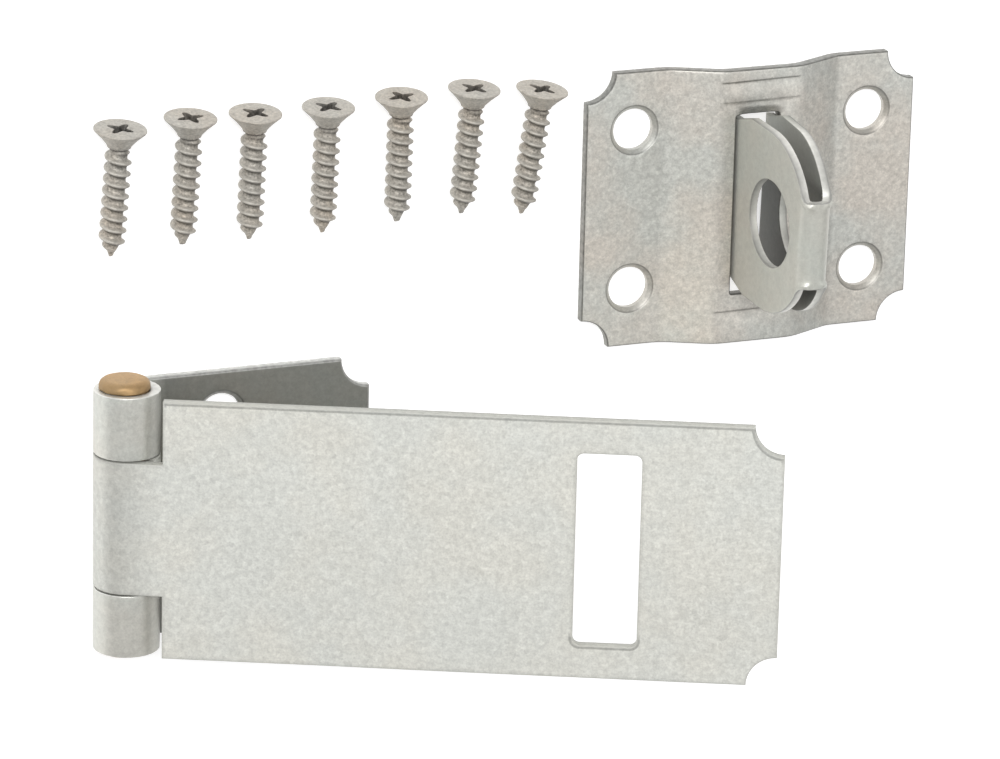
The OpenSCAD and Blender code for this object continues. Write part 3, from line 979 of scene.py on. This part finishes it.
def screw_side(shell, ring):
    """A screw's cone and collar below the rim of its face. Returns their lowest ring."""
    # Positive marks paint the head's rim and cone lighter, a painted highlight; negative ones below the
    # collar are painted shadow.
    steps = [(HEAD_R - 0.07, -0.03, 0.8), (HEAD_R, -0.1, 0.8), (HEAD_R, -LAND_H, 0.5),
             (HEAD_R - 0.12, -LAND_H - 0.1, 0.6), (HEAD_R - 1.3, -LAND_H - 1.28, 0.7),
             (COLLAR_R + 0.25, -HEAD_H + 0.4, 0.6), (COLLAR_R, -HEAD_H, 0.2), (COLLAR_R, THREAD_Z + 0.36, 0),
             (COLLAR_R - 0.08, THREAD_Z + 0.3, -0.5), (ROOT_R + 0.1, THREAD_Z + 0.3, -1)]
    for radius, z, mark in steps:
        lower = marked_ring(shell, round_points(radius), z, mark)
        bridge(shell, ring, lower)
        ring = lower
    return ring


def screw_core(z):
    """Root radius of the thread and height of its ridge at a height below the head."""
    tip = -SCREW_LEN
    core = ROOT_R if z > tip + 3 else TIP_R + (ROOT_R - TIP_R) * (z - tip) / 3
    run_in = soft_step((THREAD_Z - 0.1 - z) / 1)
    run_out = soft_step((z - tip - 0.7) / 1.7)
    return core, (CREST_R - CREST_PLAY - ROOT_R) * run_in * run_out


def screw_thread(shell, ring):
    """The helical thread below a ring of the collar, down to the flattened tip."""
    rim, line = shell.verts.layers.float["rim"], shell.verts.layers.float["line"]
    first, end = THREAD_Z + 0.27, -SCREW_LEN
    # One turn of the thread: part of the pitch, height of the ridge, shadow
    steps = [(0, 0, 0.2), (0.12, 0.01, 0), (0.23, 0.12, 0), (0.31, 0.45, 0), (0.38, 0.8, 0),
             (0.44, 0.97, 0), (0.5, 1, 0), (0.56, 0.97, 0.1), (0.63, 0.75, 0.6), (0.72, 0.35, 1),
             (0.82, 0.08, 1), (0.91, 0, 0.7)]
    turns = math.ceil((first - end) / PITCH) + 1
    spiral = []
    for k in range(turns * len(steps) + 1):
        fraction, ridge, shadow = steps[k % len(steps)]
        row = []
        for i in range(SCREW_SIDES):
            z = first + PITCH * (1 - k // len(steps) - fraction - i / SCREW_SIDES)
            z = min(first, max(end, z))
            core, height = screw_core(z)
            angle = math.tau * i / SCREW_SIDES
            rough = 0.994 + 0.012 * noise.noise(Vector((4 * math.cos(angle), 4 * math.sin(angle), z * 1.7)))
            radius = (core + height * ridge) * rough
            flat = 1 - 0.45 * soft_step((end + 1.6 - z) / 1.6)
            full = min(1, height / 0.5)
            x, y = radius * math.cos(angle), radius * flat * math.sin(angle)
            vert = shell.verts.new(Vector((x, y, z)) * MM)
            # Crests take the lighter rim colour, a painted highlight; the lower flank and the thread's first
            # turn under the collar get painted shadow.
            vert[rim] = ridge * full
            vert[line] = min(0.9, 0.75 * shadow * full + soft_step((z - first + 0.6) / 0.4))
            row.append(vert)
        spiral.append(row)
    bridge_spiral(shell, spiral, len(steps))
    bridge(shell, ring, [shell.verts.new(vert.co.copy()) for vert in spiral[0]])
    tip = shell.verts.new(Vector((0, 0, end)) * MM)
    last = spiral[-1]
    for i in range(SCREW_SIDES):
        shell.faces.new([last[i], tip, last[(i + 1) % SCREW_SIDES]])


def bridge_spiral(shell, spiral, per_turn):
    """Quads of a helical grid, where the last column of a row meets the first column one turn down."""
    count = len(spiral[0])
    for k in range(len(spiral) - 1):
        for i in range(count - 1):
            shell.faces.new([spiral[k][i], spiral[k + 1][i], spiral[k + 1][i + 1], spiral[k][i + 1]])
        if k + 1 + per_turn < len(spiral):
            a, b = spiral[k][-1], spiral[k + 1][-1]
            shell.faces.new([a, b, spiral[k + 1 + per_turn][0], spiral[k + per_turn][0]])


def make_screw_mesh():
    """One screw along -Z with its head face at z = 0: head, cross recess, neck and a helical thread."""
    shell = bmesh.new()
    shell.verts.layers.float.new("rim")
    shell.verts.layers.float.new("line")
    screw_thread(shell, screw_side(shell, screw_face(shell)))
    bmesh.ops.remove_doubles(shell, verts=shell.verts, dist=2e-7)
    bmesh.ops.dissolve_degenerate(shell, edges=shell.edges, dist=1e-7)
    return finished_mesh("wood_screw", shell, 55)


def make_screws():
    """Seven screws, each lying on its head's rim and its last thread, as its CAD node does."""
    mesh = make_screw_mesh()
    tilt = math.radians(LIE_TILT)
    for number, (heading, turn) in enumerate(SCREW_TURNS, 1):
        node = f"screw_{number}"
        low, high = [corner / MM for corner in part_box(node)]
        swing = math.radians(heading)
        reach = HEAD_R * math.hypot(math.sin(tilt) * math.cos(swing), math.sin(swing))
        height = low.z + HEAD_R * math.cos(tilt) + LAND_H * math.sin(tilt)
        place = Vector(((low.x + high.x) / 2, high.y - reach, height))
        matrix = (Matrix.Translation(place * MM) @ Matrix.Rotation(swing, 4, "Z")
                  @ Matrix.Rotation(tilt - math.pi / 2, 4, "X")
                  @ Matrix.Rotation(math.radians(turn), 4, "Z"))
        laid = mesh.copy()
        laid.name = f"wood_screw_{number}"
        laid.transform(matrix)
        show(laid.name, laid, screw_zinc, node, node)


make_leaf()
make_strap()
make_pin()
make_plate()
make_loop()
make_screws()

# ---- camera, light and floor -------------------------------------------------------------

low, high = cad_box
middle = (low + high) / 2
scene = bpy.context.scene
scene.view_settings.view_transform = "Standard"

CAMERA_ANGLES = (-19.075, -21.252, 1.434)  # degrees about X, Y and Z
CAMERA_DISTANCE = 993.7
CAMERA_AIM = (-0.2, -7.2)  # from the middle of the CAD box
LENS = 210.3
SKY_LIGHT = 0.45
FLOOR_REACH = 3  # metres to each side
FLOOR_DROP = 0.05
FLOOR_TONE = 0.6
FLOOR_GLOW = 0.6

camera_data = bpy.data.cameras.new("camera")
camera_data.sensor_width = 36
camera_data.lens = LENS
camera = bpy.data.objects.new("camera", camera_data)
scene.collection.objects.link(camera)
aim = Vector((middle.x + CAMERA_AIM[0] * MM, middle.y + CAMERA_AIM[1] * MM, 0))
turn = Euler([math.radians(a) for a in CAMERA_ANGLES]).to_matrix()
camera.location = aim + turn @ Vector((0, 0, CAMERA_DISTANCE * MM))
camera.rotation_euler = turn.to_euler()
camera_data.clip_end = 10
scene.camera = camera

world = bpy.data.worlds.new("studio")
world.use_nodes = True
sky = world.node_tree.nodes["Background"]
sky.inputs["Color"].default_value = (1, 1, 1, 1)
sky.inputs["Strength"].default_value = SKY_LIGHT
scene.world = world


def soft_light(name, place, size, power):
    """A square light that faces the middle of the object. place and size are in metres, power in watts."""
    data = bpy.data.lights.new(name, "AREA")
    data.size = size
    data.energy = power
    lamp = bpy.data.objects.new(name, data)
    lamp.location = Vector(place)
    lamp.rotation_euler = (middle - lamp.location).to_track_quat("-Z", "Y").to_euler()
    scene.collection.objects.link(lamp)


soft_light("key", (-0.35, 0.6, 1.1), 0.6, 12.5)
soft_light("fill", (0.7, 0.2, 1.0), 0.8, 2.5)
soft_light("side", (-1.1, 0.15, 0.55), 0.6, 1)

floor_shell = bmesh.new()
bmesh.ops.create_grid(floor_shell, x_segments=1, y_segments=1, size=FLOOR_REACH)
floor_mesh = bpy.data.meshes.new("floor")
floor_shell.to_mesh(floor_mesh)
floor_shell.free()
floor = bpy.data.objects.new("floor", floor_mesh)
floor.location = (middle.x, middle.y, -FLOOR_DROP * MM)
scene.collection.objects.link(floor)
paper = bpy.data.materials.new("paper")
paper.use_nodes = True
matt = paper.node_tree.nodes["Principled BSDF"]
matt.inputs["Base Color"].default_value = (FLOOR_TONE, FLOOR_TONE, FLOOR_TONE, 1)
matt.inputs["Roughness"].default_value = 0.9
matt.inputs["Emission Color"].default_value = (1, 1, 1, 1)
matt.inputs["Emission Strength"].default_value = FLOOR_GLOW
floor_mesh.materials.append(paper)
